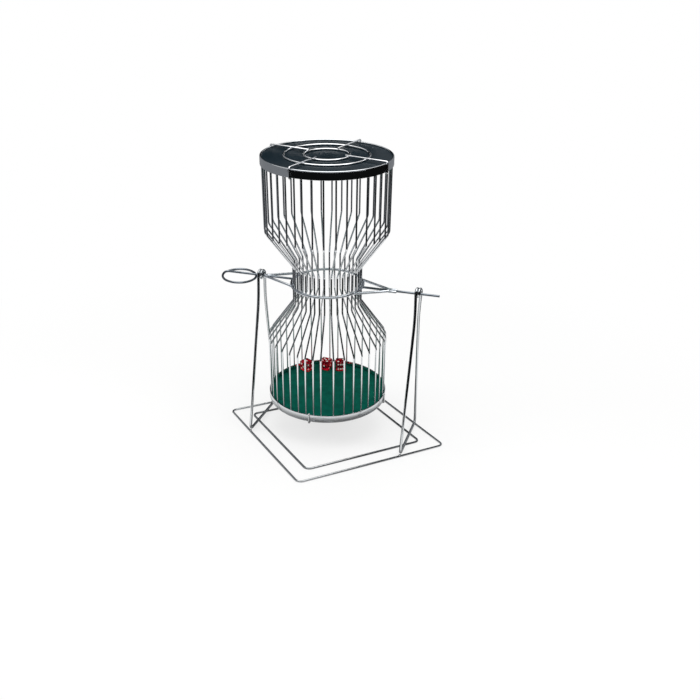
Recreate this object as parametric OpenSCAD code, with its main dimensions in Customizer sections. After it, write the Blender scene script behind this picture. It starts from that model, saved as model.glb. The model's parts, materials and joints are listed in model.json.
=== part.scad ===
// Chuck-a-luck cage: an hourglass wire cage with three dice, turning end over end on a wire stand.
// Origin: middle of the stand, on the floor. +X runs along the axle to its free end, +Y to the back, +Z up.

/* [Stand] */
// Side of the outer base square, between wire centres
base_side = 300; // [280:2:320]
// Step from the outer base loop in to the inner one, between wire centres
base_inset = 32; // [26:1:36]
// Corner radius of both base loops
base_corner = 10; // [8:1:16]
// Diameter of the base wire
base_wire_d = 4; // [3.5:0.1:5]
// Depth of the flat ground under the base loops
foot_flat = 0.25; // [0.2:0.05:0.5]
// Distance from the middle of the stand to each upright
upright_x = 144.5; // [142:0.5:150]
// Diameter of the upright wire
upright_wire_d = 5; // [4:0.1:5.2]
// Bend radius at the feet of an upright
foot_bend = 7; // [5:0.5:12]
// Inner radius of the eye at the top of an upright
eye_r = 4.3; // [3.6:0.1:6]
// Distance between the two turns of an eye
eye_pitch = 5.2; // [5:0.1:5.4]

/* [Axle and waist ring] */
// Height of the axle above the floor
axle_z = 287.5; // [280:0.5:300]
// Diameter of the axle rods
axle_d = 4; // [3.5:0.1:4.2]
// Gap under the axle in its eyes
axle_gap = 0.3; // [0.2:0.05:0.5]
// Free end of the axle, from the middle of the stand
axle_tip_x = 181.5; // [165:0.5:200]
// Diameter of the wire of the waist ring and the struts
strut_wire_d = 4.6; // [3.5:0.1:5]
// Where the struts meet the rods, from the axis of the cage
strut_meet_x = 112; // [108:1:113]
// Bend radius of a strut where it turns to run along its rod
strut_bend = 8; // [6:0.5:9]
// Length of the struts along the rod with the handle
left_strut_tail = 4; // [3.5:0.5:4.5]
// Length of the struts along the free rod
right_strut_tail = 14; // [4:1:20]
// Direction from the axis to the end of a strut on the waist ring, from the line of the rods
strut_angle = 30; // [26:1:36]
// Lean of the waist ring and its struts about the rods, against the rest of the cage
waist_ring_lean = 1.2; // [0:0.1:3]
// Radius of the round handle loop
handle_r = 30; // [26:0.5:31]
// Middle of the handle loop, from the middle of the stand
handle_x = -184; // [-190:0.5:-184]
// How far the middle of the handle loop stands forward of the axle
handle_forward = 9; // [0:0.5:15]
// How far the front of the handle loop dips below the axle, as an angle about the axle
handle_dip = 2.5; // [0:0.5:5]

/* [Cage] */
// Axis of the cage, from the middle of the stand
cage_x = -20; // [-22:1:0]
// Lean of the cage about its axle, as it came to rest
cage_tilt = 4.8; // [0:0.1:10]
// Half height of the cage, axle to the edge of an end band
half_h = 223; // [215:1:226]
// Outer radius of the end bands
band_r = 110; // [106:0.5:110]
// Height of an end band
band_h = 12.5; // [10:0.5:16]
// Thickness of an end band
band_t = 2; // [1.5:0.1:2.5]
// Number of upright cage wires
wire_count = 38; // [38]
// Diameter of a cage wire
wire_d = 2.9; // [2.4:0.1:3]
// Height of the shoulder bend above the axle
shoulder_h = 98; // [90:1:106]
// Radius of the waist, to the wire centres
waist_r = 60.2; // [56:0.2:62]
// Half height of the waist
waist_h = 34; // [28:1:40]
// Bend radius at the shoulders
shoulder_bend = 11; // [6:1:16]
// Bend radius at the waist
waist_bend = 9; // [6:1:14]

/* [Ends] */
// Thickness of a drumhead
drumhead_t = 3; // [2:0.5:4]
// Step from the edge of the band down to the drumhead
drumhead_recess = 0.5; // [0:0.1:1]
// Thickness of the felt
felt_t = 1.5; // [1:0.1:2]
// Gap between a drumhead and its band
drumhead_gap = 0.2; // [0.1:0.05:0.5]
// Diameter of the grille wire
grille_wire_d = 3; // [2.4:0.1:3.4]
// Radius of the outer grille ring
outer_ring_r = 71; // [64:0.5:80]
// Radius of the inner grille ring
inner_ring_r = 38; // [30:0.5:46]
// Direction of the first spoke of the upper grille
upper_spoke_angle = -14.2; // [-16:0.1:-12]
// Direction of the first spoke of the lower grille
lower_spoke_angle = -0.6; // [-4:0.1:4]
// Bend radius of a spoke over the band
spoke_bend = 3; // [2.5:0.1:4]

/* [Dice] */
// Edge of a die
die_a = 19; // [16:0.5:20]
// Place of the first die on the lower felt
die_1_spot = [-64, 66]; // [-66:1:66]
// Place of the second die on the lower felt
die_2_spot = [-29, 82]; // [-84:1:84]
// Place of the third die on the lower felt
die_3_spot = [0, 88]; // [-88:1:88]
// Turn of each die about its upright axis
die_turns = [-27, -7, 18]; // [-45:1:45]
// Diameter of a pip
pip_d = 3.6; // [2.8:0.1:4]
// Depth of a pip
pip_depth = 0.6; // [0.4:0.1:1]
// Distance of a pip from the middle lines of its face
pip_step = 4.8; // [4.2:0.1:5.2]

/* [Hidden] */
$fn = 48;
// How far welded wires sink into each other
weld = 0.2;
// A bend is this much thicker than the straights, which run on into it by the lap
bend_swell = 0.04;
bend_lap = 0.3;
// Gap between pieces that lie on each other without a weld
rest_gap = 0.05;
// Pieces that are cut away reach this far past what they cut
past = 1;
chrome = [0.76, 0.78, 0.80];
felt_green = [0.00, 0.33, 0.25];
drum_black = [0.06, 0.06, 0.09];
die_red = [0.62, 0.02, 0.06];
pip_white = [0.95, 0.93, 0.88];

base_z = base_wire_d / 2 - foot_flat;
bar_z = base_z + base_wire_d / 2 + upright_wire_d / 2 - weld;
foot_y = base_side / sqrt(2) - upright_x;
eye_centre_r = eye_r + upright_wire_d / 2;
eye_z = axle_z + eye_r - axle_d / 2 - axle_gap;

drum_r = band_r - band_t - wire_d / 2 + weld;
wire_end = half_h - drumhead_recess - drumhead_t - felt_t - rest_gap;
waist_ring_r = waist_r + wire_d / 2 + strut_wire_d / 2 - weld;
rod_start = waist_ring_r + strut_wire_d / 2 - weld;
strut_side = axle_d / 2 + strut_wire_d / 2 - weld;
// A strut aims at the middle of the ring's wire and ends this far short of it, cut to fit round the ring
strut_short = 2.5;
strut_aim = waist_ring_r * [cos(strut_angle), sin(strut_angle)];
handle_drop = (axle_d - weld) / (2 * handle_r);

drumhead_r = band_r - band_t - drumhead_gap;
drumhead_low = half_h - drumhead_recess - drumhead_t;
ring_h = half_h - drumhead_recess + grille_wire_d / 2 + rest_gap;
spoke_h = ring_h + grille_wire_d - weld;
spoke_start = inner_ring_r - grille_wire_d;
hook_r = band_r + grille_wire_d / 2 + rest_gap;
hook_low = half_h - band_h - grille_wire_d / 2 - rest_gap;
// The hook's tip stops short of the cage wires behind the band
hook_tip = band_r - band_t + 0.7;
hook_bend = 2;

felt_face = half_h - drumhead_recess - drumhead_t - felt_t;
die_h = -felt_face + rest_gap + die_a / 2;
// A sphere of this radius takes the corners off a die
die_corner_r = 0.75 * die_a;
die_spots = [die_1_spot, die_2_spot, die_3_spot];
// Which way up each die lies
die_tips = [[0, 0, 180], [90, 0, 0], [-90, 0, 0]];
// Pips of each face in units of pip_step: top, bottom, front, back, right and left
PIPS = [
    [[0, 0]],
    [for (x = [-1, 0, 1], y = [-1, 1]) [x, y]],
    [[-1, -1], [1, 1]],
    [[0, 0], for (x = [-1, 1], y = [-1, 1]) [x, y]],
    [[-1, -1], [0, 0], [1, 1]],
    [for (x = [-1, 1], y = [-1, 1]) [x, y]]
];
FACES = [[0, 0, 0], [180, 0, 0], [90, 0, 0], [-90, 0, 0], [0, 90, 0], [0, -90, 0]];

wires_per_node = 2;
wire_nodes = wire_count / wires_per_node;
wire_step = 360 / wire_count;
ENDS = ["upper", "lower"];
STRUT_SIDES = ["front", "back"];
STRUT_ENDS = ["left", "right"];

function heading(p, i) = (p[i + 1] - p[i]) / norm(p[i + 1] - p[i]);
function bearing(p, i) = atan2(heading(p, i).y, heading(p, i).x);
// Turn at inner point i, positive to the left
function turn(p, i) =
    asin(heading(p, i - 1).x * heading(p, i).y - heading(p, i - 1).y * heading(p, i).x);
// Length that the bend at point i takes from each straight beside it
function setback(p, r, i) = r[i - 1] * tan(abs(turn(p, i)) / 2);
// Distance from point i to the end of a straight beside it
function trim(p, r, i) = i == 0 || i == len(p) - 1 ? 0 : setback(p, r, i) - bend_lap;

// A wire bent in the XY plane: straights between the points, and a round bend at each inner point
module bent_wire(p, bend_r, d) {
    for (i = [0:len(p) - 2]) {
        start = p[i] + heading(p, i) * trim(p, bend_r, i);
        finish = p[i + 1] - heading(p, i) * trim(p, bend_r, i + 1);
        translate([start.x, start.y, 0]) rotate([0, 0, bearing(p, i)]) rotate([0, 90, 0])
            cylinder(d = d, h = norm(finish - start));
    }
    for (i = [1:len(p) - 2]) {
        side = sign(turn(p, i));
        start = p[i] - heading(p, i - 1) * setback(p, bend_r, i);
        left = [-heading(p, i - 1).y, heading(p, i - 1).x];
        middle = start + left * side * bend_r[i - 1];
        translate([middle.x, middle.y, 0])
            rotate([0, 0, bearing(p, i - 1) - 90 * side + min(0, turn(p, i))])
                wire_arc(bend_r[i - 1], d + bend_swell, abs(turn(p, i)));
    }
}

// An arc of wire about the Z axis, starting on +X
module wire_arc(r, d, angle) {
    rotate_extrude(angle = angle) translate([r, 0]) circle(d = d);
}

// A full ring of wire about the Z axis
module wire_ring(r, d) {
    rotate_extrude() translate([r, 0]) circle(d = d);
}

// A square loop of wire with round corners, its corners on the X and Y axes
module square_loop(side, corner, d) {
    rotate([0, 0, 45]) for (k = [0:3]) rotate([0, 0, 90 * k]) {
        translate([side / 2, corner - side / 2, 0]) rotate([-90, 0, 0])
            cylinder(d = d, h = side - 2 * corner);
        translate([side / 2 - corner, side / 2 - corner, 0]) wire_arc(corner, d, 90);
    }
}

// A base loop lying on the floor, ground flat underneath
module base_loop(side) {
    color(chrome) difference() {
        translate([0, 0, base_z]) square_loop(side, base_corner, base_wire_d);
        translate([-base_side, -base_side, -base_wire_d])
            cube([2 * base_side, 2 * base_side, base_wire_d]);
    }
}
module base_outer_loop() { base_loop(base_side); }
module base_inner_loop() { base_loop(base_side - 2 * base_inset); }

// One wire: up from a foot, twice round the axle, down to the other foot and back along the floor bar
module upright(x) {
    foot = [foot_y, bar_z];
    to_eye = [-foot_y, eye_z - bar_z];
    lean = atan2(to_eye.y, to_eye.x) - asin(eye_centre_r / norm(to_eye));
    leg = sqrt(to_eye * to_eye - eye_centre_r * eye_centre_r);
    leg_top = foot + leg * [cos(lean), sin(lean)];
    color(chrome) translate([x, 0, 0]) rotate([90, 0, 90]) {
        bent_wire(
            [leg_top, foot, [-foot.x, foot.y], [-leg_top.x, leg_top.y]],
            [foot_bend, foot_bend], upright_wire_d
        );
        for (s = [-1, 1]) translate([0, eye_z, s * eye_pitch / 2]) wire_ring(eye_centre_r, upright_wire_d);
    }
}
module left_upright() { upright(-upright_x); }
module right_upright() { upright(upright_x); }

// The cage's own frame: its middle on the axle, its axis along Z
module in_cage() { translate([cage_x, 0, axle_z]) rotate([cage_tilt, 0, 0]) children(); }

// One end of the cage: the lower end is the upper one turned over
module at_end(e) { in_cage() mirror([0, 0, e == "lower" ? 1 : 0]) children(); }

module band(e) {
    color(chrome) at_end(e) translate([0, 0, half_h - band_h]) difference() {
        cylinder(r = band_r, h = band_h);
        translate([0, 0, -past]) cylinder(r = band_r - band_t, h = band_h + 2 * past);
    }
}
module drumhead(e) {
    color(drum_black) at_end(e) translate([0, 0, drumhead_low]) cylinder(r = drumhead_r, h = drumhead_t);
}
module felt(e) {
    color(felt_green) at_end(e) translate([0, 0, felt_face]) cylinder(r = drumhead_r, h = felt_t);
}
module outer_ring(e) {
    color(chrome) at_end(e) translate([0, 0, ring_h]) wire_ring(outer_ring_r, grille_wire_d);
}
module inner_ring(e) {
    color(chrome) at_end(e) translate([0, 0, ring_h]) wire_ring(inner_ring_r, grille_wire_d);
}

// A spoke welded across both rings, bent down outside the band, with its tip hooked under the band
module spoke(e, k) {
    first = e == "lower" ? lower_spoke_angle : upper_spoke_angle;
    color(chrome) at_end(e) rotate([0, 0, first + 90 * (k - 1)]) rotate([90, 0, 0])
        bent_wire(
            [[spoke_start, spoke_h], [hook_r, spoke_h], [hook_r, hook_low], [hook_tip, hook_low]],
            [spoke_bend, hook_bend], grille_wire_d
        );
}

// One cage wire from felt to felt: drum, cone, waist, cone and drum
module cage_wire(k) {
    rotate([0, 0, k * wire_step]) rotate([90, 0, 0]) bent_wire(
        [
            [drum_r, wire_end], [drum_r, shoulder_h], [waist_r, waist_h],
            [waist_r, -waist_h], [drum_r, -shoulder_h], [drum_r, -wire_end]
        ],
        [shoulder_bend, waist_bend, waist_bend, shoulder_bend], wire_d
    );
}
// Neighbouring wires, each a separate solid
module cage_wires(n) {
    color(chrome) in_cage() for (k = [1:wires_per_node]) cage_wire(wires_per_node * (n - 1) + k - 1);
}

// The frame of the waist ring, which leans a little in the cage
module in_ring() { in_cage() rotate([waist_ring_lean, 0, 0]) children(); }

// A ring welded round the outside of the waist
module waist_ring() { color(chrome) in_ring() wire_ring(waist_ring_r, strut_wire_d); }

// A strut from the outside of the waist ring to one of the rods, bent to run on along it
module strut(y, x) {
    tail = x == "left" ? left_strut_tail : right_strut_tail;
    meet = [strut_meet_x, strut_side];
    root = strut_aim - strut_short * (strut_aim - meet) / norm(strut_aim - meet);
    color(chrome) in_ring() mirror([x == "left" ? 1 : 0, 0, 0]) mirror([0, y == "front" ? 1 : 0, 0])
        difference() {
            bent_wire([meet + [tail, 0], meet, root], [strut_bend], strut_wire_d);
            wire_ring(waist_ring_r, strut_wire_d - 2 * weld);
        }
}

// The axle rod on the handle side. Its outer end runs into a round loop that drops to pass under the rod
module handle_rod() {
    loop_middle = [handle_x - cage_x, -handle_forward, 0];
    rod_end = handle_x - cage_x - sqrt(handle_r * handle_r - handle_forward * handle_forward);
    color(chrome) in_cage() {
        translate([rod_end, 0, 0]) rotate([0, 90, 0]) cylinder(d = axle_d, h = -rod_start - rod_end);
        rotate([handle_dip, 0, 0]) translate(loop_middle - [handle_r, 0, 0]) rotate([0, asin(handle_drop), 0])
            translate([handle_r, 0, 0]) wire_ring(handle_r, axle_d);
    }
}

// The axle rod on the free side
module free_rod() {
    color(chrome) in_cage() translate([rod_start, 0, 0]) rotate([0, 90, 0])
        cylinder(d = axle_d, h = axle_tip_x - cage_x - rod_start);
}

// Puts a die's own frame at its place on the lower felt
module at_die(k) {
    in_cage() translate([die_spots[k - 1].x, die_spots[k - 1].y, die_h])
        rotate([0, 0, die_turns[k - 1]]) rotate(die_tips[k - 1]) children();
}
// The pips of all six faces, each reaching out past the face by the given amount
module pips(out) {
    for (f = [0:5]) rotate(FACES[f]) for (p = PIPS[f])
        translate([p.x * pip_step, p.y * pip_step, die_a / 2 - pip_depth])
            cylinder(d = pip_d, h = pip_depth + out);
}
module die(k) {
    color(die_red) at_die(k) difference() {
        intersection() {
            cube(die_a, center = true);
            sphere(r = die_corner_r);
        }
        pips(past);
    }
}
module die_pips(k) { color(pip_white) at_die(k) pips(0); }

base_outer_loop();
base_inner_loop();
left_upright();
right_upright();
for (e = ENDS) {
    band(e);
    drumhead(e);
    felt(e);
    outer_ring(e);
    inner_ring(e);
    for (k = [1:4]) spoke(e, k);
}
waist_ring();
handle_rod();
free_rod();
for (y = STRUT_SIDES, x = STRUT_ENDS) strut(y, x);
for (k = [1:3]) {
    die(k);
    die_pips(k);
}
for (k = [1:wire_nodes]) cage_wires(k);
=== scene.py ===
import json
import math
import bmesh
import bpy
from mathutils import Matrix, Vector


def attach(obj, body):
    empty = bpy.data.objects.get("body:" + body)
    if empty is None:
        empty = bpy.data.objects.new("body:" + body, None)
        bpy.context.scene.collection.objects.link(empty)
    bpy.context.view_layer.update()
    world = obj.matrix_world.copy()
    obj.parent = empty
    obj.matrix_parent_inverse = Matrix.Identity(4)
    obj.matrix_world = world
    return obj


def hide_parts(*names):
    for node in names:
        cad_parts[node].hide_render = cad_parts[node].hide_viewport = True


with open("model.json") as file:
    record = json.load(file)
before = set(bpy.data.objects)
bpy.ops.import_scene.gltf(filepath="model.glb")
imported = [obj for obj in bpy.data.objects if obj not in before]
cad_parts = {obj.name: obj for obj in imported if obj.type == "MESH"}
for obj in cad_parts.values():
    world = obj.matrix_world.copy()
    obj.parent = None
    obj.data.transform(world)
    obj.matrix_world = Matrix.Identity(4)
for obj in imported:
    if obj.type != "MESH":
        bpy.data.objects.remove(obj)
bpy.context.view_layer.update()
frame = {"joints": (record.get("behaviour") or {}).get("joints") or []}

# Camera
# It stands a little to the right of the stand's middle, somewhat over a metre off. It looks down
# on the cage and leans slightly to one side.
MM = 0.001
PICTURE_PIXELS = 700
CAMERA_AT = Vector((370.7, -1300.7, 718.8)) * MM
CAMERA_TURN = math.radians(14.69)
CAMERA_DOWN = math.radians(25.94)
CAMERA_ROLL = math.radians(2.21)
FOCAL_PIXELS = 794.7
# The frame sits this many pixels above the lens axis
FRAME_RAISE_PIXELS = 50


def add_object(name, data):
    """A new object in the scene for a mesh, a camera or a lamp."""
    made = bpy.data.objects.new(name, data)
    bpy.context.scene.collection.objects.link(made)
    return made


camera_data = bpy.data.cameras.new("camera")
camera_data.lens = camera_data.sensor_width * FOCAL_PIXELS / PICTURE_PIXELS
camera_data.shift_y = FRAME_RAISE_PIXELS / PICTURE_PIXELS
camera = add_object("camera", camera_data)
camera.matrix_world = (
    Matrix.Translation(CAMERA_AT)
    @ Matrix.Rotation(CAMERA_TURN, 4, "Z")
    @ Matrix.Rotation(math.pi / 2 - CAMERA_DOWN, 4, "X")
    @ Matrix.Rotation(CAMERA_ROLL, 4, "Z")
)
bpy.context.scene.camera = camera

# Base loops
# Two square loops of chromed steel wire lie flat on the table, one inside the other, with
# their corners fore and aft and to the sides. Each is bent from one length and butt welded.
BASE_WIRE = 4 * MM
BASE_SIDE = 300 * MM
BASE_INSET = 32 * MM
BASE_CORNER = 10 * MM
BASE_HEIGHT = 1.75 * MM
WIRE_SIDES = 16
BEND_STEP = math.radians(4.5)
# Points closer than this are one point
SEAM_GAP = 0.01 * MM
SHARP_ANGLE = math.radians(40)
# Specks start to show at the first height of their noise and are full at the second
SPECK_HEIGHTS = (0.60, 0.74)
SPECK_DEPTH = 0.55


def srgb(hex_colour):
    """A hex colour as linear RGBA."""
    parts = [int(hex_colour[i : i + 2], 16) / 255 for i in (1, 3, 5)]
    return [c / 12.92 if c <= 0.04045 else ((c + 0.055) / 1.055) ** 2.4 for c in parts] + [1.0]


def add_node(tree, kind, inputs=None, **settings):
    """Adds a node, sets its settings, and fills each named input with a value or a link."""
    made = tree.nodes.new(kind)
    for name, value in settings.items():
        setattr(made, name, value)
    for name, value in (inputs or {}).items():
        if isinstance(value, bpy.types.NodeSocket):
            tree.links.new(value, made.inputs[name])
        else:
            made.inputs[name].default_value = value
    return made


def start_material(name):
    """A new material, its empty node tree and its Object coordinates."""
    material = bpy.data.materials.new(name)
    material.use_nodes = True
    tree = material.node_tree
    tree.nodes.clear()
    place = add_node(tree, "ShaderNodeTexCoord").outputs["Object"]
    return material, tree, place


def chrome_plate(name, colour, tarnish, smudge_mm, speck_mm, gloss, dull):
    """Bright chrome plate over steel: a mirror with smudges from handling, and specks of tarnish
    where it has thinned. Real specks are finer. They are drawn as coarse as they need to show."""
    material, tree, place = start_material(name)
    smudge = add_node(
        tree, "ShaderNodeTexNoise", {"Vector": place, "Scale": 1 / (smudge_mm * MM), "Detail": 3.0}
    ).outputs["Fac"]
    specks = add_node(
        tree, "ShaderNodeTexNoise", {"Vector": place, "Scale": 1 / (speck_mm * MM), "Detail": 4.0}
    ).outputs["Fac"]
    thin = add_node(
        tree, "ShaderNodeMapRange",
        {
            "Value": specks, "From Min": SPECK_HEIGHTS[0], "From Max": SPECK_HEIGHTS[1],
            "To Min": 0.0, "To Max": SPECK_DEPTH,
        },
    ).outputs["Result"]
    tint = add_node(
        tree, "ShaderNodeMix", {0: thin, 6: srgb(colour), 7: srgb(tarnish)}, data_type="RGBA"
    ).outputs[2]
    rough = add_node(
        tree, "ShaderNodeMapRange", {"Value": smudge, "To Min": gloss, "To Max": dull}
    ).outputs["Result"]
    peel = add_node(
        tree, "ShaderNodeBump", {"Height": smudge, "Strength": 0.04, "Distance": 0.2 * MM}
    ).outputs["Normal"]
    shader = add_node(
        tree, "ShaderNodeBsdfPrincipled",
        {"Base Color": tint, "Metallic": 1.0, "Roughness": rough, "Normal": peel},
    ).outputs["BSDF"]
    add_node(tree, "ShaderNodeOutputMaterial", {"Surface": shader})
    return material


def wire_end(bm, point, heading, diameter):
    """The round end of a wire at a point, ready to be fed along its heading."""
    facing = Vector(heading).to_track_quat("Z", "Y").to_matrix().to_4x4()
    rim = bmesh.ops.create_circle(
        bm, segments=WIRE_SIDES, radius=diameter / 2, matrix=Matrix.Translation(point) @ facing
    )["verts"]
    return list({edge for vert in rim for edge in vert.link_edges})


def feed(bm, rim, step):
    """Draws the wire on by a straight step."""
    grown = bmesh.ops.extrude_edge_only(bm, edges=rim)["geom"]
    verts = [g for g in grown if isinstance(g, bmesh.types.BMVert)]
    edges = [g for g in grown if isinstance(g, bmesh.types.BMEdge)]
    bmesh.ops.translate(bm, vec=step, verts=verts)
    return [edge for edge in edges if all(vert in verts for vert in edge.verts)]


def bend(bm, rim, centre, axis, angle, advance=Vector()):
    """Bends the wire round a centre. It may also advance, as a coil or a rising loop does."""
    steps = max(2, math.ceil(angle / BEND_STEP))
    grown = bmesh.ops.spin(
        bm, geom=rim, cent=centre, axis=axis, angle=angle, steps=steps, dvec=Vector(advance) / steps
    )["geom_last"]
    return [g for g in grown if isinstance(g, bmesh.types.BMEdge)]


def form_wire(bm, points, radii, diameter):
    """A wire through the points, bent at each inner point to the radius given for it."""
    points = [Vector(p) for p in points]
    headings = [(b - a).normalized() for a, b in zip(points, points[1:])]
    turns = [a.angle(b) for a, b in zip(headings, headings[1:])]
    setbacks = [0.0] + [r * math.tan(t / 2) for r, t in zip(radii, turns)] + [0.0]
    rim = wire_end(bm, points[0], headings[0], diameter)
    for i, heading in enumerate(headings):
        length = (points[i + 1] - points[i]).length - setbacks[i] - setbacks[i + 1]
        rim = feed(bm, rim, heading * length)
        if i < len(turns):
            axis = heading.cross(headings[i + 1]).normalized()
            corner = points[i + 1] - heading * setbacks[i + 1]
            rim = bend(bm, rim, corner + axis.cross(heading) * radii[i], axis, turns[i])


def close_up(bm):
    """Merges points that meet, so that a loop joins its own end, and turns the faces outwards."""
    bmesh.ops.remove_doubles(bm, verts=bm.verts, dist=SEAM_GAP)
    bmesh.ops.recalc_face_normals(bm, faces=bm.faces)


def mesh_object(name, bm, material):
    """Turns a finished bmesh into an object of one material."""
    mesh = bpy.data.meshes.new(name)
    bm.to_mesh(mesh)
    bm.free()
    mesh.materials.append(material)
    return add_object(name, mesh)


def make_piece(name, bm, material, body, node):
    """Turns a finished bmesh into a piece that stands for its CAD node and rides on its body."""
    for face in bm.faces:
        face.smooth = True
    piece = mesh_object(name, bm, material)
    piece.data.set_sharp_from_angle(angle=SHARP_ANGLE)
    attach(piece, body)
    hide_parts(node)
    return piece


stand_chrome = chrome_plate(
    "stand_chrome_plate", "#D3D6D8", "#8F8C85", smudge_mm=14, speck_mm=1.6, gloss=0.05, dull=0.18
)
for loop_name, inset in (("base_outer_loop", 0.0), ("base_inner_loop", BASE_INSET)):
    reach = (BASE_SIDE / 2 - inset) * math.sqrt(2)
    side_middle = (reach / 2, -reach / 2, BASE_HEIGHT)
    corners = [(x, y, BASE_HEIGHT) for x, y in ((reach, 0), (0, reach), (-reach, 0), (0, -reach))]
    bm = bmesh.new()
    form_wire(bm, [side_middle, *corners, side_middle], [BASE_CORNER] * len(corners), BASE_WIRE)
    close_up(bm)
    # The underside is worn flat where it stands on the table
    for vert in bm.verts:
        vert.co.z = max(vert.co.z, 0.0)
    make_piece(f"{loop_name}_wire", bm, stand_chrome, "stand", loop_name)

# Uprights
# Each upright is one heavier wire. It runs along a floor bar laid across a corner of both base
# loops, up as a leg, once and a half round the axle as a coiled eye, and down as the other leg.
UPRIGHT_WIRE = 5 * MM
UPRIGHT_X = 144.5 * MM
FOOT_BEND = 7 * MM
EYE_RADIUS = 6.8 * MM
EYE_LIFT = 2.0 * MM
EYE_ADVANCE = 7.2 * MM
# The legs lie in one plane and part only over this length below the eye,
# in these shares from the eye down
EYE_NECK = 64 * MM
NECK_SHARES = (0.30, 0.27, 0.22, 0.14, 0.07)
BAR_HEIGHT = 6.05 * MM
FOOT_WELD_MM = (2.4, 3.2, 1.2)


def weld_bead(bm, point, half_sizes_mm):
    """A small lump of weld metal, drawn out along the seam that it fills."""
    shape = Matrix.Diagonal([*(half * MM for half in half_sizes_mm), 1.0])
    bmesh.ops.create_icosphere(
        bm, subdivisions=2, radius=1.0, matrix=Matrix.Translation(point) @ shape
    )


axle_joint = next(j for j in frame["joints"] if j["name"] == "cage_spin")
axle_height = axle_joint["pos_m"][2]
foot_y = BASE_SIDE / math.sqrt(2) - UPRIGHT_X
inner_y = (BASE_SIDE / 2 - BASE_INSET) * math.sqrt(2) - UPRIGHT_X
eye_rise = axle_height + EYE_LIFT - BAR_HEIGHT
leg_slope = math.atan2(eye_rise, foot_y) + math.asin(EYE_RADIUS / math.hypot(eye_rise, foot_y))
leg_length = math.sqrt(eye_rise**2 + foot_y**2 - EYE_RADIUS**2)
foot_turn = math.pi - leg_slope
foot_setback = FOOT_BEND * math.tan(foot_turn / 2)
foot_rise = Vector((0, 0, FOOT_BEND))
half_bar = Vector((0, foot_y - foot_setback, 0))
up_leg = Vector((0, math.cos(leg_slope), math.sin(leg_slope)))
down_leg = Vector((0, math.cos(leg_slope), -math.sin(leg_slope)))
plain_leg = leg_length - foot_setback - EYE_NECK
neck_step = EYE_NECK / len(NECK_SHARES)
parting = Vector((EYE_ADVANCE / 2, 0, 0))
for side, x in (("left", -UPRIGHT_X), ("right", UPRIGHT_X)):
    bar_middle = Vector((x, 0, BAR_HEIGHT))
    eye_middle = Vector((x, 0, axle_height + EYE_LIFT))
    bm = bmesh.new()
    rim = wire_end(bm, bar_middle, (0, -1, 0), UPRIGHT_WIRE)
    rim = feed(bm, rim, -half_bar)
    rim = bend(bm, rim, bar_middle - half_bar + foot_rise, (-1, 0, 0), foot_turn)
    rim = feed(bm, rim, up_leg * plain_leg)
    for share in reversed(NECK_SHARES):
        rim = feed(bm, rim, up_leg * neck_step - parting * share)
    rim = bend(bm, rim, eye_middle, (-1, 0, 0), 2 * math.pi + 2 * leg_slope, 2 * parting)
    for share in NECK_SHARES:
        rim = feed(bm, rim, down_leg * neck_step - parting * share)
    rim = feed(bm, rim, down_leg * plain_leg)
    rim = bend(bm, rim, bar_middle + half_bar + foot_rise, (-1, 0, 0), foot_turn)
    feed(bm, rim, -half_bar)
    close_up(bm)
    for y in (-foot_y, -inner_y, inner_y, foot_y):
        weld_bead(bm, (x, y, BASE_WIRE), FOOT_WELD_MM)
    make_piece(f"{side}_upright_wire", bm, stand_chrome, "stand", f"{side}_upright")

# Cage wires
# Thirty-eight thin chromed wires stand in a ring from felt to felt. Each is bent the same way:
# straight drum, shoulder, cone in to the waist, and the same again below, welded inside the bands.
CAGE_LEAN = math.radians(4.8)
CAGE_WIRE = 2.9 * MM
CAGE_WIRE_END_EASE = 0.25 * MM
CAGE_WIRE_COUNT = 38
WIRES_PER_PIECE = 2
DRUM_RADIUS = 106.75 * MM
WIRE_END = 217.95 * MM
SHOULDER_HEIGHT = 98 * MM
SHOULDER_BEND = 11 * MM
WAIST_RADIUS = 60.2 * MM
WAIST_HEIGHT = 34 * MM
WAIST_BEND = 9 * MM
END_EASE_STEPS = 2
# The wires are set by hand: these stray by so many degrees from even spacing,
# at the upper and at the lower end
WIRE_STRAYS = {
    5: (0.0, -1.5), 7: (-2.5, 1.1), 8: (-1.8, 0.9), 9: (-2.4, 0.8), 10: (-1.8, 1.3), 11: (-1.7, 0.5),
    12: (-0.7, 0.2), 13: (-0.2, 1.4), 14: (0.8, 3.2), 15: (1.8, 3.5), 16: (1.8, 3.6), 17: (1.0, 3.5),
    18: (0.5, 1.5), 24: (3.2, 0.4), 25: (3.7, 2.2), 26: (3.3, 2.5), 27: (2.7, 2.1), 28: (0.3, 0.6),
    29: (-0.3, -1.2), 30: (0.0, -3.4), 31: (1.0, -1.0), 32: (0.9, -0.2), 33: (0.3, -0.2),
    34: (1.3, -0.7), 35: (1.4, -1.1), 37: (0.7, -0.8),
}


def ease_edges(bm, edges, offset, steps):
    """Rounds edges off by this much."""
    bmesh.ops.bevel(
        bm, geom=edges, offset=offset, segments=steps, profile=0.5, affect="EDGES", material=-1
    )


def finish_ends(bm, ease):
    """Caps the open ends of a wire and takes off their sharp edge."""
    close_up(bm)
    rims = [edge for edge in bm.edges if edge.is_boundary]
    bmesh.ops.holes_fill(bm, edges=rims, sides=0)
    ease_edges(bm, rims, ease, END_EASE_STEPS)
    bmesh.ops.recalc_face_normals(bm, faces=bm.faces)


def around(radius, k, stray, height):
    """A point of a cage wire, which stands at its even spacing plus its stray."""
    azimuth = 2 * math.pi * k / CAGE_WIRE_COUNT + math.radians(stray)
    return Vector((radius * math.cos(azimuth), radius * math.sin(azimuth), height))


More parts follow.
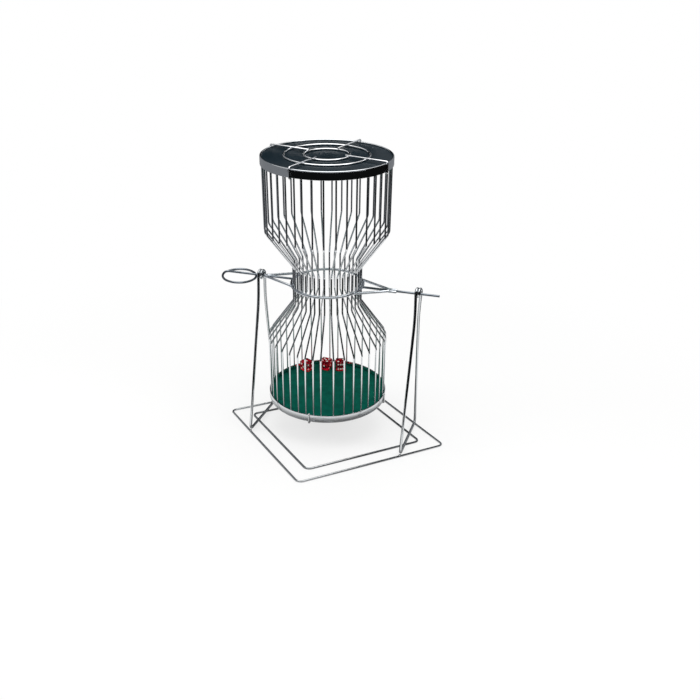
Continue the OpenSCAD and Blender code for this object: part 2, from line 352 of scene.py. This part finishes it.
cage_chrome = chrome_plate(
    "cage_chrome_plate", "#E6E8EA", "#A9A7A1", smudge_mm=11, speck_mm=1.2, gloss=0.05, dull=0.16
)
in_cage = Matrix.Translation(axle_joint["pos_m"]) @ Matrix.Rotation(CAGE_LEAN, 4, "X")
half_wire = [(DRUM_RADIUS, WIRE_END), (DRUM_RADIUS, SHOULDER_HEIGHT), (WAIST_RADIUS, WAIST_HEIGHT)]
whole_wire = half_wire + [(r, -h) for r, h in reversed(half_wire)]
wire_bends = [SHOULDER_BEND, WAIST_BEND, WAIST_BEND, SHOULDER_BEND]
wire_strays = [WIRE_STRAYS.get(k, (0.0, 0.0)) for k in range(CAGE_WIRE_COUNT)]
for n in range(CAGE_WIRE_COUNT // WIRES_PER_PIECE):
    bm = bmesh.new()
    for k in range(WIRES_PER_PIECE * n, WIRES_PER_PIECE * (n + 1)):
        upper, lower = wire_strays[k]
        middle = (upper + lower) / 2
        strays = (upper, upper, middle, middle, lower, lower)
        points = [around(r, k, stray, h) for (r, h), stray in zip(whole_wire, strays)]
        form_wire(bm, points, wire_bends, CAGE_WIRE)
    finish_ends(bm, CAGE_WIRE_END_EASE)
    bmesh.ops.transform(bm, matrix=in_cage, verts=bm.verts)
    make_piece(f"cage_wire_pair_{n + 1:02d}", bm, cage_chrome, "cage", f"cage_wires_{n + 1}")

# Waist ring
# A ring of heavier chromed wire is bent round the waist and welded to every cage wire that it
# touches. It leans a little about the rods, against the rest of the cage.
BRACE_WIRE = 4.6 * MM
WAIST_RING_RADIUS = 63.75 * MM
WAIST_RING_LEAN = math.radians(1.2)
WAIST_WELD_MM = (0.9, 0.9, 1.8)
RING_STEPS = math.ceil(2 * math.pi / BEND_STEP)


def ring_of_wire(bm, radius, height, diameter, steps):
    """A wire bent once round the cage's axis, to meet its own end."""
    rim = wire_end(bm, (radius, 0, height), (0, 1, 0), diameter)
    bmesh.ops.spin(
        bm, geom=rim, cent=(0, 0, 0), axis=(0, 0, 1), angle=2 * math.pi, steps=steps, use_merge=True
    )
    close_up(bm)


axle_chrome = chrome_plate(
    "axle_chrome_plate", "#DDE2E7", "#9A9892", smudge_mm=9, speck_mm=1.4, gloss=0.03, dull=0.12
)
in_ring = in_cage @ Matrix.Rotation(WAIST_RING_LEAN, 4, "X")
bm = bmesh.new()
ring_of_wire(bm, WAIST_RING_RADIUS, 0, BRACE_WIRE, RING_STEPS)
for k, strays in enumerate(wire_strays):
    weld_bead(bm, around(WAIST_RADIUS + CAGE_WIRE / 2, k, sum(strays) / 2, 0), WAIST_WELD_MM)
bmesh.ops.transform(bm, matrix=in_ring, verts=bm.verts)
make_piece("waist_ring_wire", bm, axle_chrome, "cage", "waist_ring")

# Struts
# Four short wires brace the ring to the rods, a front and a back one on each side. Each lies along
# its rod with a tail, bends off to the ring, and is welded to both.
STRUT_MEET = 112 * MM
STRUT_BESIDE = 4.1 * MM
STRUT_BEND = 8 * MM
STRUT_TAILS = {"left": 4 * MM, "right": 14 * MM}
STRUT_END_EASE = 0.5 * MM
# A strut ends on the ring at this angle from the rods, just short of the middle of the ring's wire
STRUT_ANGLE = math.radians(30)
STRUT_SHORT = 1.5 * MM
# Its welds lie above and below the seam with the rod, near both ends, and back from the ring
STRUT_WELD_RISE = 1.5 * MM
SEAM_WELD_MM = (3.5, 0.9, 0.6)
SEAM_WELD_BACK = 2 * MM
TAIL_WELD_BACK = 3 * MM
RING_WELD_MM = (2.2, 2.2, 0.9)
RING_WELD_BACK = 3.2 * MM

strut_meet = Vector((STRUT_MEET, STRUT_BESIDE, 0))
strut_seam = Vector((STRUT_MEET, STRUT_BESIDE / 2, 0))
strut_aim = Vector((math.cos(STRUT_ANGLE), math.sin(STRUT_ANGLE), 0)) * WAIST_RING_RADIUS
strut_heading = (strut_aim - strut_meet).normalized()
strut_end = strut_aim - strut_heading * STRUT_SHORT
for front_or_back, toward in (("front", -1), ("back", 1)):
    for side, along in (("left", -1), ("right", 1)):
        tail = Vector((STRUT_TAILS[side], 0, 0))
        bm = bmesh.new()
        form_wire(bm, [strut_meet + tail, strut_meet, strut_end], [STRUT_BEND], BRACE_WIRE)
        finish_ends(bm, STRUT_END_EASE)
        for rise in (-STRUT_WELD_RISE, STRUT_WELD_RISE):
            for x in (-SEAM_WELD_BACK, tail.x - TAIL_WELD_BACK):
                weld_bead(bm, strut_seam + Vector((x, 0, rise)), SEAM_WELD_MM)
            ring_weld = strut_aim - strut_heading * RING_WELD_BACK + Vector((0, 0, rise))
            weld_bead(bm, ring_weld, RING_WELD_MM)
        mirrored = in_ring @ Matrix.Diagonal((along, toward, 1, 1))
        bmesh.ops.transform(bm, matrix=mirrored, verts=bm.verts)
        bmesh.ops.recalc_face_normals(bm, faces=bm.faces)
        strut = f"{front_or_back}_{side}_strut"
        make_piece(f"{strut}_wire", bm, axle_chrome, "cage", strut)

# Rods and handle
# A rod butts against each side of the waist ring and turns in its eye. The right one ends plain.
# The left one runs on into a round loop for the fingers. Both rods are a darker copy of the chrome, a
# painted shade.
ROD_WIRE = 4 * MM
ROD_START = 65.85 * MM
ROD_TIP = 181.5 * MM
ROD_TIP_EASE = 0.6 * MM
ROD_WELD_MM = (1.3, 2.6, 2.6)
HANDLE_RADIUS = 30 * MM
HANDLE_TURN_IN = 7 * MM
HANDLE_FORWARD = 9 * MM
HANDLE_X = -184 * MM
HANDLE_DROP = 3.8 * MM
HANDLE_DIP = math.radians(2.5)
HANDLE_END_EASE = 0.5 * MM
HANDLE_WELD_MM = (2.6, 2.0, 0.9)
# The loop's wire stops short of a full turn, beside the rod, and by then is back up by this share
HANDLE_LOOP_END = math.radians(157)
HANDLE_END_LIFT = 0.6

# Painted shade: a darker copy of the chrome, so that the rods and the handle read dark
shaded_rod_chrome = chrome_plate(
    "painted_shade_chrome_plate", "#858C93", "#5E5C58", smudge_mm=8, speck_mm=1.2, gloss=0.06, dull=0.20
)
cage_x = axle_joint["pos_m"][0]
loop_middle = Vector((HANDLE_X - cage_x, -HANDLE_FORWARD, 0))
turn_in_reach = HANDLE_RADIUS - HANDLE_TURN_IN
turn_in_x = loop_middle.x - math.sqrt(turn_in_reach**2 - (HANDLE_FORWARD - HANDLE_TURN_IN) ** 2)
turn_in_middle = Vector((turn_in_x, -HANDLE_TURN_IN, 0))
join_angle = math.atan2(turn_in_middle.y - loop_middle.y, turn_in_middle.x - loop_middle.x)
cross_angle = 2 * math.pi + math.asin(HANDLE_FORWARD / HANDLE_RADIUS)
cross_x = loop_middle.x + HANDLE_RADIUS * math.cos(cross_angle)
last_turn = 2 * math.pi + HANDLE_LOOP_END - cross_angle
dip = Matrix.Rotation(HANDLE_DIP, 3, "X")
dip_up = dip @ Vector((0, 0, 1))
drop = dip_up * -HANDLE_DROP
bm = bmesh.new()
rim = wire_end(bm, (-ROD_START, 0, 0), (-1, 0, 0), ROD_WIRE)
rim = feed(bm, rim, Vector((turn_in_x + ROD_START, 0, 0)))
rim = bend(bm, rim, dip @ turn_in_middle, dip_up, join_angle - math.pi / 2)
rim = bend(bm, rim, dip @ loop_middle, dip_up, cross_angle - join_angle, drop)
bend(bm, rim, dip @ loop_middle, dip_up, last_turn, -drop * HANDLE_END_LIFT)
finish_ends(bm, HANDLE_END_EASE)
weld_bead(bm, (cross_x, 0, -HANDLE_DROP / 2), HANDLE_WELD_MM)
weld_bead(bm, (-ROD_START, 0, 0), ROD_WELD_MM)
bmesh.ops.transform(bm, matrix=in_cage, verts=bm.verts)
make_piece("handle_rod_and_loop", bm, shaded_rod_chrome, "cage", "handle_rod")

bm = bmesh.new()
form_wire(bm, [(ROD_START, 0, 0), (ROD_TIP - cage_x, 0, 0)], [], ROD_WIRE)
finish_ends(bm, ROD_TIP_EASE)
weld_bead(bm, (ROD_START, 0, 0), ROD_WELD_MM)
bmesh.ops.transform(bm, matrix=in_cage, verts=bm.verts)
make_piece("free_end_rod", bm, shaded_rod_chrome, "cage", "free_rod")

# End bands
# A strip of chromed steel is rolled into a hoop round each end of the cage, and the wires are
# welded to its inside. Its outer edge is curled over into a bead, and rolling leaves faint waves.
HALF_HEIGHT = 223 * MM
BAND_RADIUS = 110 * MM
BAND_HEIGHT = 12.5 * MM
BAND_THICKNESS = 2 * MM
BAND_EDGE = 0.45 * MM
BAND_BEAD = 2.8 * MM
BAND_BEAD_HEIGHT = 223.2 * MM
HOOP_STEPS = 180
EDGE_EASE_STEPS = 3
ENDS = (("upper", 1), ("lower", -1))


def turned(bm, outline):
    """Turns a closed outline of (radius, height) points round the cage's axis."""
    verts = [bm.verts.new((r, 0, h)) for r, h in outline]
    edges = [bm.edges.new(pair) for pair in zip(verts, verts[1:] + verts[:1])]
    bmesh.ops.spin(
        bm, geom=verts + edges, cent=(0, 0, 0), axis=(0, 0, 1), angle=2 * math.pi,
        steps=HOOP_STEPS, use_merge=True,
    )
    close_up(bm)


def hoop_edges(bm):
    """The level edges round the axis that an outline's corners leave."""
    hoops = []
    for edge in bm.edges:
        a, b = (vert.co for vert in edge.verts)
        if abs(a.z - b.z) < SEAM_GAP and abs(a.xy.length - b.xy.length) < SEAM_GAP:
            hoops.append(edge)
    return hoops


def place_at_end(bm, flip):
    """Moves a piece from the cage's own frame to its upper or lower end."""
    bmesh.ops.transform(bm, matrix=in_cage @ Matrix.Scale(flip, 4, (0, 0, 1)), verts=bm.verts)
    bmesh.ops.recalc_face_normals(bm, faces=bm.faces)


band_chrome = chrome_plate(
    "rolled_chrome_strip", "#D6D9DB", "#9D9A92", smudge_mm=24, speck_mm=1.8, gloss=0.05, dull=0.16
)
band_low = HALF_HEIGHT - BAND_HEIGHT
band_inside = BAND_RADIUS - BAND_THICKNESS
for end, flip in ENDS:
    bm = bmesh.new()
    turned(
        bm,
        [
            (band_inside, band_low), (BAND_RADIUS, band_low),
            (BAND_RADIUS, HALF_HEIGHT), (band_inside, HALF_HEIGHT),
        ],
    )
    ease_edges(bm, hoop_edges(bm), BAND_EDGE, EDGE_EASE_STEPS)
    ring_of_wire(bm, BAND_RADIUS - BAND_BEAD / 2, BAND_BEAD_HEIGHT, BAND_BEAD, HOOP_STEPS)
    place_at_end(bm, flip)
    make_piece(f"{end}_hoop_band", bm, band_chrome, "cage", f"{end}_band")

# Drumheads
# A black disc of coated board closes each end. It drops into the band onto the felt and the ends
# of the wires, and its fine pebbled coat has a soft shine.
DRUMHEAD_RADIUS = 107.8 * MM
DRUMHEAD_THICKNESS = 3 * MM
DRUMHEAD_RECESS = 0.5 * MM
DRUMHEAD_EDGE = 0.8 * MM
BOARD_COLOURS = ("#05141B", "#0C1D26")
GRAIN_MM = 0.9
SCUFF_MM = 30


def black_board():
    """Black coated board: near black with a blue cast, a soft sheen and a fine pebble grain."""
    material, tree, place = start_material("black_coated_board")
    grain = add_node(
        tree, "ShaderNodeTexVoronoi", {"Vector": place, "Scale": 1 / (GRAIN_MM * MM)}
    ).outputs["Distance"]
    scuff = add_node(
        tree, "ShaderNodeTexNoise", {"Vector": place, "Scale": 1 / (SCUFF_MM * MM), "Detail": 5.0}
    ).outputs["Fac"]
    dark, light = (srgb(colour) for colour in BOARD_COLOURS)
    tint = add_node(
        tree, "ShaderNodeMix", {0: scuff, 6: dark, 7: light}, data_type="RGBA"
    ).outputs[2]
    rough = add_node(
        tree, "ShaderNodeMapRange", {"Value": scuff, "To Min": 0.24, "To Max": 0.40}
    ).outputs["Result"]
    pebble = add_node(
        tree, "ShaderNodeBump", {"Height": grain, "Strength": 0.10, "Distance": 0.12 * MM}
    ).outputs["Normal"]
    shader = add_node(
        tree, "ShaderNodeBsdfPrincipled",
        {"Base Color": tint, "Roughness": rough, "Specular IOR Level": 0.08, "Normal": pebble},
    ).outputs["BSDF"]
    add_node(tree, "ShaderNodeOutputMaterial", {"Surface": shader})
    return material


board = black_board()
board_top = HALF_HEIGHT - DRUMHEAD_RECESS
board_low = board_top - DRUMHEAD_THICKNESS
for end, flip in ENDS:
    bm = bmesh.new()
    turned(
        bm, [(0, board_low), (DRUMHEAD_RADIUS, board_low), (DRUMHEAD_RADIUS, board_top), (0, board_top)]
    )
    ease_edges(bm, hoop_edges(bm), DRUMHEAD_EDGE, EDGE_EASE_STEPS)
    place_at_end(bm, flip)
    make_piece(f"{end}_end_board", bm, board, "cage", f"{end}_drumhead")

# Felt
# Green wool felt is glued to the inner face of each drumhead, so that the dice land softly.
# Its short matted fibres scatter light and leave a faint mottle.
FELT_THICKNESS = 1.5 * MM
FELT_EDGE = 0.5 * MM
FELT_COLOURS = ("#00483D", "#00604F")
FELT_FUZZ = "#2F9C80"
# Real tufts of fibre are finer. They are drawn as coarse as they need to show.
TUFT_MM = 1.1
MOTTLE_MM = 18


def wool_felt():
    """Wool felt: a deep green with fibres a little lighter and darker, and a soft fuzz at grazing
    angles."""
    material, tree, place = start_material("green_wool_felt")
    tufts = add_node(
        tree, "ShaderNodeTexNoise",
        {"Vector": place, "Scale": 1 / (TUFT_MM * MM), "Detail": 6.0, "Roughness": 0.7},
    ).outputs["Fac"]
    mottle = add_node(
        tree, "ShaderNodeTexNoise", {"Vector": place, "Scale": 1 / (MOTTLE_MM * MM), "Detail": 3.0}
    ).outputs["Fac"]
    both = add_node(
        tree, "ShaderNodeMath", {0: tufts, 1: mottle}, operation="MULTIPLY"
    ).outputs["Value"]
    depth = add_node(
        tree, "ShaderNodeMapRange", {"Value": both, "From Min": 0.12, "From Max": 0.40}
    ).outputs["Result"]
    dark, light = (srgb(colour) for colour in FELT_COLOURS)
    tint = add_node(
        tree, "ShaderNodeMix", {0: depth, 6: dark, 7: light}, data_type="RGBA"
    ).outputs[2]
    nap = add_node(
        tree, "ShaderNodeBump", {"Height": tufts, "Strength": 0.6, "Distance": 0.25 * MM}
    ).outputs["Normal"]
    shader = add_node(
        tree, "ShaderNodeBsdfPrincipled",
        {
            "Base Color": tint, "Roughness": 0.95, "Normal": nap, "Specular IOR Level": 0.08,
            "Sheen Weight": 0.06, "Sheen Roughness": 0.5, "Sheen Tint": srgb(FELT_FUZZ),
        },
    ).outputs["BSDF"]
    add_node(tree, "ShaderNodeOutputMaterial", {"Surface": shader})
    return material


felt = wool_felt()
felt_face = board_low - FELT_THICKNESS
for end, flip in ENDS:
    bm = bmesh.new()
    turned(
        bm, [(0, felt_face), (DRUMHEAD_RADIUS, felt_face), (DRUMHEAD_RADIUS, board_low), (0, board_low)]
    )
    # Only the edge on the dice's side is worn round
    inner_rim = [edge for edge in hoop_edges(bm) if edge.verts[0].co.z < board_low - FELT_EDGE]
    ease_edges(bm, inner_rim, FELT_EDGE, EDGE_EASE_STEPS)
    place_at_end(bm, flip)
    piece = make_piece(f"{end}_felt_disc", bm, felt, "cage", f"{end}_felt")

# Grilles
# Two rings and four spokes of chromed wire, welded where they cross, hold each drumhead down.
# The spokes bend over the band and hook under its edge, so the whole grille clips on and off.
GRILLE_WIRE = 3 * MM
OUTER_RING = 71 * MM
INNER_RING = 38 * MM
RING_HEIGHT = 224.05 * MM
SPOKE_HEIGHT = 226.85 * MM
SPOKE_START = 35 * MM
SPOKE_ANGLES = {"upper": math.radians(-14.2), "lower": math.radians(-0.6)}
SPOKE_COUNT = 4
SPOKE_BEND = 3 * MM
SPOKE_END_EASE = 0.4 * MM
HOOK_RADIUS = 111.55 * MM
HOOK_LOW = 208.95 * MM
HOOK_TIP = 108.7 * MM
HOOK_BEND = 2 * MM
GRILLE_WELD_MM = (1.9, 1.9, 0.8)

grille_chrome = chrome_plate(
    "grille_chrome_plate", "#FAFBFC", "#BDBBB5", smudge_mm=10, speck_mm=1.3, gloss=0.04, dull=0.14
)
spoke_points = [
    (SPOKE_START, 0, SPOKE_HEIGHT), (HOOK_RADIUS, 0, SPOKE_HEIGHT),
    (HOOK_RADIUS, 0, HOOK_LOW), (HOOK_TIP, 0, HOOK_LOW),
]
for end, flip in ENDS:
    for ring_name, radius in (("outer", OUTER_RING), ("inner", INNER_RING)):
        bm = bmesh.new()
        ring_of_wire(bm, radius, RING_HEIGHT, GRILLE_WIRE, RING_STEPS)
        place_at_end(bm, flip)
        ring = f"{end}_{ring_name}"
        make_piece(f"{ring}_grille_ring", bm, grille_chrome, "cage", f"{ring}_ring")
    for k in range(SPOKE_COUNT):
        bm = bmesh.new()
        form_wire(bm, spoke_points, [SPOKE_BEND, HOOK_BEND], GRILLE_WIRE)
        finish_ends(bm, SPOKE_END_EASE)
        for radius in (INNER_RING, OUTER_RING):
            weld_bead(bm, (radius, 0, (RING_HEIGHT + SPOKE_HEIGHT) / 2), GRILLE_WELD_MM)
        swing = Matrix.Rotation(SPOKE_ANGLES[end] + 2 * math.pi * k / SPOKE_COUNT, 3, "Z")
        bmesh.ops.rotate(bm, cent=(0, 0, 0), matrix=swing, verts=bm.verts)
        place_at_end(bm, flip)
        spoke = f"{end}_spoke_{k + 1}"
        make_piece(f"{end}_grille_spoke_{k + 1}", bm, grille_chrome, "cage", spoke)

# Dice
# Three clear red dice with polished faces lie on the lower felt. Each has its corners and edges
# eased, and its pips are drilled and filled flush with white paint.
DIE_EDGE = 19 * MM
DIE_CORNER_CUT = 2.0 * MM
DIE_CORNER_STEPS = 4
DIE_EDGE_CUT = 0.5 * MM
DIE_SHARP_ANGLE = math.radians(60)
DIE_HEIGHT = -208.45 * MM
# Each die's place on the felt in mm, how it is turned there in degrees, and which way up it fell
DICE = (
    ((-64, 66), -27, (180, "Z")),
    ((-29, 82), -7, (90, "X")),
    ((0, 88), 18, (-90, "X")),
)
DIE_COLOURS = ("#C80A28", "#E21838")
HAZE_MM = 6
PIP_DIAMETER = 3.6 * MM
PIP_DEPTH = 0.6 * MM
PIP_PROUD = 0.02 * MM
PIP_STEP = 4.8 * MM
PIP_SIDES = 24
PAINT_COLOURS = ("#EFE8DC", "#FAF7F0")
PAINT_MM = 0.8
# The turn that brings the top to each face, and that face's pips in units of the pip step
PIP_FACES = (
    ((0, "X"), [(0, 0)]),
    ((180, "X"), [(x, y) for x in (-1, 0, 1) for y in (-1, 1)]),
    ((90, "X"), [(-1, -1), (1, 1)]),
    ((-90, "X"), [(0, 0)] + [(x, y) for x in (-1, 1) for y in (-1, 1)]),
    ((90, "Y"), [(-1, -1), (0, 0), (1, 1)]),
    ((-90, "Y"), [(x, y) for x in (-1, 1) for y in (-1, 1)]),
)


def clear_red():
    """Cast red acetate, polished: clear and deep, with a bright skin."""
    material, tree, place = start_material("clear_red_acetate")
    haze = add_node(
        tree, "ShaderNodeTexNoise", {"Vector": place, "Scale": 1 / (HAZE_MM * MM), "Detail": 3.0}
    ).outputs["Fac"]
    dark, light = (srgb(colour) for colour in DIE_COLOURS)
    tint = add_node(
        tree, "ShaderNodeMix", {0: haze, 6: dark, 7: light}, data_type="RGBA"
    ).outputs[2]
    rough = add_node(
        tree, "ShaderNodeMapRange", {"Value": haze, "To Min": 0.03, "To Max": 0.09}
    ).outputs["Result"]
    shader = add_node(
        tree, "ShaderNodeBsdfPrincipled",
        {"Base Color": tint, "Roughness": rough, "IOR": 1.49, "Transmission Weight": 0.88},
    ).outputs["BSDF"]
    add_node(tree, "ShaderNodeOutputMaterial", {"Surface": shader})
    return material


def white_paint():
    """White filler paint: a warm white with a dull, slightly uneven face."""
    material, tree, place = start_material("white_pip_paint")
    uneven = add_node(
        tree, "ShaderNodeTexNoise", {"Vector": place, "Scale": 1 / (PAINT_MM * MM), "Detail": 2.0}
    ).outputs["Fac"]
    dark, light = (srgb(colour) for colour in PAINT_COLOURS)
    tint = add_node(
        tree, "ShaderNodeMix", {0: uneven, 6: dark, 7: light}, data_type="RGBA"
    ).outputs[2]
    rough = add_node(
        tree, "ShaderNodeMapRange", {"Value": uneven, "To Min": 0.35, "To Max": 0.55}
    ).outputs["Result"]
    shader = add_node(
        tree, "ShaderNodeBsdfPrincipled", {"Base Color": tint, "Roughness": rough}
    ).outputs["BSDF"]
    add_node(tree, "ShaderNodeOutputMaterial", {"Surface": shader})
    return material


red = clear_red()
white = white_paint()
pip_middle = (DIE_EDGE - PIP_DEPTH) / 2 + PIP_PROUD
for k, (spot, turn, (tip, tip_axis)) in enumerate(DICE, 1):
    lie = (
        in_cage
        @ Matrix.Translation((spot[0] * MM, spot[1] * MM, DIE_HEIGHT))
        @ Matrix.Rotation(math.radians(turn), 4, "Z")
        @ Matrix.Rotation(math.radians(tip), 4, tip_axis)
    )
    bm = bmesh.new()
    bmesh.ops.create_cube(bm, size=DIE_EDGE)
    bmesh.ops.bevel(
        bm, geom=bm.verts[:], offset=DIE_CORNER_CUT, segments=DIE_CORNER_STEPS, profile=0.5,
        affect="VERTICES", material=-1,
    )
    sharp = [edge for edge in bm.edges if edge.calc_face_angle(0) > DIE_SHARP_ANGLE]
    ease_edges(bm, sharp, DIE_EDGE_CUT, EDGE_EASE_STEPS)
    bmesh.ops.transform(bm, matrix=lie, verts=bm.verts)
    bmesh.ops.recalc_face_normals(bm, faces=bm.faces)
    make_piece(f"red_die_{k}", bm, red, f"die_{k}", f"die_{k}")

    bm = bmesh.new()
    for (degrees, axis), spots in PIP_FACES:
        face_turn = Matrix.Rotation(math.radians(degrees), 4, axis)
        for x, y in spots:
            drilled = Matrix.Translation((x * PIP_STEP, y * PIP_STEP, pip_middle))
            bmesh.ops.create_cone(
                bm, cap_ends=True, segments=PIP_SIDES, radius1=PIP_DIAMETER / 2,
                radius2=PIP_DIAMETER / 2, depth=PIP_DEPTH, matrix=lie @ face_turn @ drilled,
            )
    make_piece(f"die_{k}_white_pips", bm, white, f"die_{k}", f"die_{k}_pips")

# Studio
# A pale table top under plain soft light from overhead and both sides. Round it, out of the picture,
# stands a screen seen only in reflections: a painted reflection, near black with grey and white parts that
# glow, so that bright metal has something to mirror.
FLOOR_HALF = 30.0
FLOOR_COLOUR = "#F6F6F5"
WHITE = "#FFFFFF"
# Near the object the floor keeps this share of its own shade, and farther off it fades to white
FLOOR_SHADE = 0.30
FLOOR_FADE = (0.25, 1.1)
# Metal mirrors a painted shade: for glossy rays the floor's glow is darker under the object, out to this
# distance
PAINTED_SHADE_FADE = (0.12, 0.26)
PAINTED_SHADE_DEPTH = 0.88

material, tree, place = start_material("pale_table_top")
rays = add_node(tree, "ShaderNodeLightPath").outputs
seen = add_node(
    tree, "ShaderNodeMath", {0: rays["Is Camera Ray"], 1: rays["Is Transmission Ray"]}, operation="MAXIMUM"
).outputs["Value"]
away = add_node(tree, "ShaderNodeVectorMath", {0: place}, operation="LENGTH").outputs["Value"]
faded = add_node(
    tree, "ShaderNodeMapRange",
    {
        "Value": away, "From Min": FLOOR_FADE[0], "From Max": FLOOR_FADE[1],
        "To Min": 1 - FLOOR_SHADE, "To Max": 1.0,
    },
    interpolation_type="SMOOTHSTEP",
).outputs["Result"]
white_share = add_node(
    tree, "ShaderNodeMath", {0: seen, 1: faded, 2: rays["Is Glossy Ray"]}, operation="MULTIPLY_ADD"
).outputs["Value"]
# Painted shade: the white glow that glossy rays see on the floor is dimmed near the object
painted_mirror_shade = add_node(
    tree, "ShaderNodeMapRange",
    {
        "Value": away, "From Min": PAINTED_SHADE_FADE[0], "From Max": PAINTED_SHADE_FADE[1],
        "To Min": -PAINTED_SHADE_DEPTH, "To Max": 0.0,
    },
    interpolation_type="SMOOTHSTEP",
).outputs["Result"]
strength = add_node(
    tree, "ShaderNodeMath", {0: rays["Is Glossy Ray"], 1: painted_mirror_shade, 2: 1.0}, operation="MULTIPLY_ADD"
).outputs["Value"]
table_top = add_node(
    tree, "ShaderNodeBsdfPrincipled",
    {"Base Color": srgb(FLOOR_COLOUR), "Roughness": 0.9, "Specular IOR Level": 0.1},
).outputs["BSDF"]
glow = add_node(
    tree, "ShaderNodeEmission", {"Color": srgb(WHITE), "Strength": strength}
).outputs["Emission"]
mixed = add_node(
    tree, "ShaderNodeMixShader", {0: white_share, 1: table_top, 2: glow}
).outputs["Shader"]
add_node(tree, "ShaderNodeOutputMaterial", {"Surface": mixed})
bm = bmesh.new()
bmesh.ops.create_grid(bm, x_segments=1, y_segments=1, size=FLOOR_HALF)
floor = mesh_object("floor", bm, material)

# Painted reflection: a glowing sheet that no camera, diffuse, shadow or transmission ray sees, only glossy
# rays
SCREEN_RADIUS = 0.50
SCREEN_HEIGHT = 0.90
SCREEN_SIDES = 64
SCREEN_COLOUR = "#F4F8FF"
SCREEN_DARK = 0.006
# The middle and half width of each glowing part of the screen, a painted reflection, as azimuths in
# degrees, its lower edge in metres and its brightness
GLOWING_REFLECTION_PARTS = (
    (180.5, 45.5, 0.08, 0.25), (66, 30, 0.08, 0.25), (105, 45, 0.80, 0.60), (286, 60, 0.60, 1.0)
)
# A radial gradient runs from 0 to 1 over a full turn, with this along +X
GRADIENT_AHEAD = 0.5

material, tree, place = start_material("painted_reflection_screen")
height = add_node(tree, "ShaderNodeSeparateXYZ", {"Vector": place}).outputs["Z"]
brightness = SCREEN_DARK
for middle, half_width, low_edge, added in GLOWING_REFLECTION_PARTS:
    turned_to = add_node(
        tree, "ShaderNodeMapping",
        {"Vector": place, "Rotation": (0, 0, -math.radians(middle))}, vector_type="POINT",
    ).outputs["Vector"]
    round_turn = add_node(
        tree, "ShaderNodeTexGradient", {"Vector": turned_to}, gradient_type="RADIAL"
    ).outputs["Fac"]
    within = add_node(
        tree, "ShaderNodeMath", {0: round_turn, 1: GRADIENT_AHEAD, 2: half_width / 360}, operation="COMPARE"
    ).outputs["Value"]
    above = add_node(
        tree, "ShaderNodeMath", {0: height, 1: low_edge}, operation="GREATER_THAN"
    ).outputs["Value"]
    glowing_part = add_node(
        tree, "ShaderNodeMath", {0: within, 1: above}, operation="MULTIPLY"
    ).outputs["Value"]
    brightness = add_node(
        tree, "ShaderNodeMath", {0: glowing_part, 1: added, 2: brightness}, operation="MULTIPLY_ADD"
    ).outputs["Value"]
painted_reflection_glow = add_node(
    tree, "ShaderNodeEmission", {"Color": srgb(SCREEN_COLOUR), "Strength": brightness}
).outputs["Emission"]
add_node(tree, "ShaderNodeOutputMaterial", {"Surface": painted_reflection_glow})
bm = bmesh.new()
bmesh.ops.create_cone(
    bm, cap_ends=False, segments=SCREEN_SIDES, radius1=SCREEN_RADIUS, radius2=SCREEN_RADIUS,
    depth=SCREEN_HEIGHT, matrix=Matrix.Translation((0, 0, SCREEN_HEIGHT / 2 + MM)),
)
painted_reflection_screens = mesh_object("painted_reflection_screens", bm, material)
# Only glossy rays see the screen, so its near-black sheet and glowing parts are painted reflections
painted_reflection_screens.visible_camera = False
painted_reflection_screens.visible_diffuse = False
painted_reflection_screens.visible_shadow = False
painted_reflection_screens.visible_transmission = False

WORLD_STRENGTH = 0.60
world = bpy.data.worlds.new("studio")
bpy.context.scene.world = world
world.use_nodes = True
tree = world.node_tree
tree.nodes.clear()
rays = add_node(tree, "ShaderNodeLightPath").outputs
seen = add_node(
    tree, "ShaderNodeMath", {0: rays["Is Camera Ray"], 1: rays["Is Glossy Ray"]}, operation="MAXIMUM"
).outputs["Value"]
seen_or_through = add_node(
    tree, "ShaderNodeMath", {0: seen, 1: rays["Is Transmission Ray"]}, operation="MAXIMUM"
).outputs["Value"]
strength = add_node(
    tree, "ShaderNodeMapRange", {"Value": seen_or_through, "To Min": WORLD_STRENGTH, "To Max": 1.0}
).outputs["Result"]
wall = add_node(
    tree, "ShaderNodeBackground", {"Color": srgb(WHITE), "Strength": strength}
).outputs["Background"]
add_node(tree, "ShaderNodeOutputWorld", {"Surface": wall})

# Each lamp's place and width in metres, and its power in watts
LAMPS = (
    ("overhead_lamp", (0.1, -0.2, 1.9), 2.0, 16.0),
    ("left_lamp", (-1.5, -0.9, 1.4), 0.8, 9.0),
    ("right_lamp", (1.6, -0.6, 1.5), 0.8, 7.0),
)
LAMP_AIM = Vector((0, 0, 0.27))
for name, at, width, watts in LAMPS:
    lamp_data = bpy.data.lights.new(name, "AREA")
    lamp_data.shape = "DISK"
    lamp_data.size = width
    lamp_data.energy = watts
    lamp = add_object(name, lamp_data)
    facing = (LAMP_AIM - Vector(at)).to_track_quat("-Z", "Y").to_matrix().to_4x4()
    lamp.matrix_world = Matrix.Translation(at) @ facing

bpy.context.scene.view_settings.view_transform = "Standard"
